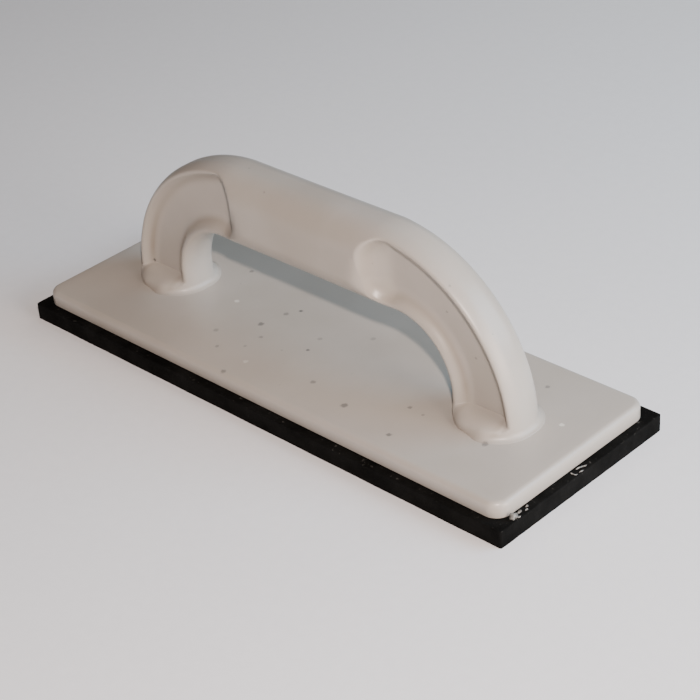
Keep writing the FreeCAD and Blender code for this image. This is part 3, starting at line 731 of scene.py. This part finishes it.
# ------------------------------------------------------------------ operators
class HANDFLOAT_OT_body(bpy.types.Operator):
    """Builds the moulded body: the plate and the arched handle with its side pockets"""
    bl_idname = "handfloat.body"
    bl_label = "Moulded body"

    def execute(self, context):
        scene = context.scene
        body, pocket = scene.handfloat_body, scene.handfloat_pocket
        plastic = moulded_plastic(scene.handfloat_colours)
        plate = slab(
            BODY_HIGH[0], BODY_HIGH[1], body.plate_corner, BODY_LOW[2], body.plate_top,
            PLATE_UNDER_ROUND, body.plate_edge,
        )
        surface_piece("moulded_plate", [plate], "float_body", plastic)
        points, grime_and_painted_shade = handle_points(body, pocket)
        handle = surface_piece("arched_handle", [points], "float_body", plastic)
        # The mask of dirt and painted shade, stored on the handle's points for the plastic.
        layer = handle.data.attributes.new("grime_and_painted_shade", "FLOAT", "POINT")
        end_points = (0.0, 0.0)
        values = np.concatenate([grime_and_painted_shade.ravel(), end_points]).astype(np.float32)
        layer.data.foreach_set("value", values)
        return {"FINISHED"}


class HANDFLOAT_OT_sole(bpy.types.Operator):
    """Builds the rubber sole under the plate"""
    bl_idname = "handfloat.sole"
    bl_label = "Rubber sole"

    def execute(self, context):
        rubber = cut_rubber(context.scene.handfloat_colours)
        sole = slab(
            SOLE_HIGH[0], SOLE_HIGH[1], SOLE_CORNER, SOLE_LOW[2], SOLE_HIGH[2],
            SOLE_EDGE_ROUND, SOLE_EDGE_ROUND, SOLE_RAGGED,
        )
        surface_piece("cut_rubber_sole", [sole], "rubber_sole", rubber)
        return {"FINISHED"}


class HANDFLOAT_OT_adhesive(bpy.types.Operator):
    """Finishes the adhesive between plate and sole and its squeezed-out beads"""
    bl_idname = "handfloat.adhesive"
    bl_label = "Adhesive"

    def execute(self, context):
        glue = dried_adhesive(context.scene.handfloat_colours)
        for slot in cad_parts["adhesive_film"].material_slots:
            slot.material = glue
        for name, node, lumps in (
            ("adhesive_lumps_corner", "glue_bead_corner", CORNER_LUMPS),
            ("adhesive_strands_end", "glue_bead_end", END_STRANDS),
        ):
            shells = [adhesive_lump(*lump) for lump in lumps]
            surface_piece(name, shells, node, glue)
        return {"FINISHED"}


def area_light(name, azimuth, elevation, distance, size, power, colour, aim):
    """A square lamp at a direction and distance from a point, turned towards it. Azimuth 0 is in
    front, on the -Y side, and grows towards +X."""
    lamp = bpy.data.lights.new(name, "AREA")
    lamp.shape = "SQUARE"
    lamp.size = size
    lamp.energy = power
    lamp.color = colour
    az, el = math.radians(azimuth), math.radians(elevation)
    away = Vector((math.sin(az) * math.cos(el), -math.cos(az) * math.cos(el), math.sin(el)))
    holder = bpy.data.objects.new(name, lamp)
    holder.location = Vector(aim) + away * distance
    holder.rotation_mode = "QUATERNION"
    holder.rotation_quaternion = (-away).to_track_quat("-Z", "Y")
    bpy.context.scene.collection.objects.link(holder)


class HANDFLOAT_OT_stage(bpy.types.Operator):
    """Sets the floor, the lamps and the camera"""
    bl_idname = "handfloat.stage"
    bl_label = "Stage"

    def execute(self, context):
        scene = context.scene
        mesh = bpy.data.meshes.new("studio_floor")
        signs = ((-1, -1), (1, -1), (1, 1), (-1, 1))
        corners = [(sx * FLOOR_REACH, sy * FLOOR_REACH, 0) for sx, sy in signs]
        mesh.from_pydata(corners, [], [(0, 1, 2, 3)])
        floor = bpy.data.objects.new("studio_floor", mesh)
        scene.collection.objects.link(floor)
        mesh.materials.append(stage_paper())
        world = bpy.data.worlds.new("studio_air")
        world.use_nodes = True
        air = world.node_tree.nodes["Background"]
        air.inputs["Color"].default_value = AIR_COLOUR
        air.inputs["Strength"].default_value = AIR_STRENGTH
        scene.world = world
        for lamp in LAMPS:
            area_light(*lamp, LAMP_AIM)
        camera_data = bpy.data.cameras.new("studio_camera")
        camera_data.lens = CAMERA_LENS
        camera_data.sensor_width = CAMERA_SENSOR
        camera_data.dof.use_dof = False
        camera = bpy.data.objects.new("studio_camera", camera_data)
        stand = Vector(CAMERA_STAND)
        target = Vector(CAMERA_TARGET)
        camera.location = stand
        camera.rotation_mode = "QUATERNION"
        level = (target - stand).to_track_quat("-Z", "Y")
        camera.rotation_quaternion = level @ Quaternion((0, 0, 1), CAMERA_ROLL)
        scene.collection.objects.link(camera)
        scene.camera = camera
        return {"FINISHED"}


class HANDFLOAT_PT_panel(bpy.types.Panel):
    """Lists the float's steps in the 3D view's sidebar"""
    bl_idname = "HANDFLOAT_PT_panel"
    bl_label = "Hand float"
    bl_space_type = "VIEW_3D"
    bl_region_type = "UI"
    bl_category = "Hand Float"

    def draw(self, context):
        layout = self.layout
        for step in STEPS:
            layout.operator(step.bl_idname)
        for group in ("handfloat_body", "handfloat_pocket", "handfloat_colours"):
            box = layout.box()
            settings = getattr(context.scene, group)
            for name in settings.__annotations__:
                box.prop(settings, name)


STEPS = (HANDFLOAT_OT_body, HANDFLOAT_OT_sole, HANDFLOAT_OT_adhesive, HANDFLOAT_OT_stage)
CLASSES = (FloatBodySizes, PocketSizes, FloatColours, *STEPS, HANDFLOAT_PT_panel)


def register():
    """Registers the classes and hangs the settings on the scene."""
    for cls in CLASSES:
        bpy.utils.register_class(cls)
    bpy.types.Scene.handfloat_body = PointerProperty(type=FloatBodySizes)
    bpy.types.Scene.handfloat_pocket = PointerProperty(type=PocketSizes)
    bpy.types.Scene.handfloat_colours = PointerProperty(type=FloatColours)


def unregister():
    """Takes away what register added."""
    del bpy.types.Scene.handfloat_colours
    del bpy.types.Scene.handfloat_pocket
    del bpy.types.Scene.handfloat_body
    for cls in reversed(CLASSES):
        bpy.utils.unregister_class(cls)


def main():
    register()
    bpy.ops.handfloat.body()
    bpy.ops.handfloat.sole()
    bpy.ops.handfloat.adhesive()
    bpy.ops.handfloat.stage()


if __name__ == "__main__":
    main()
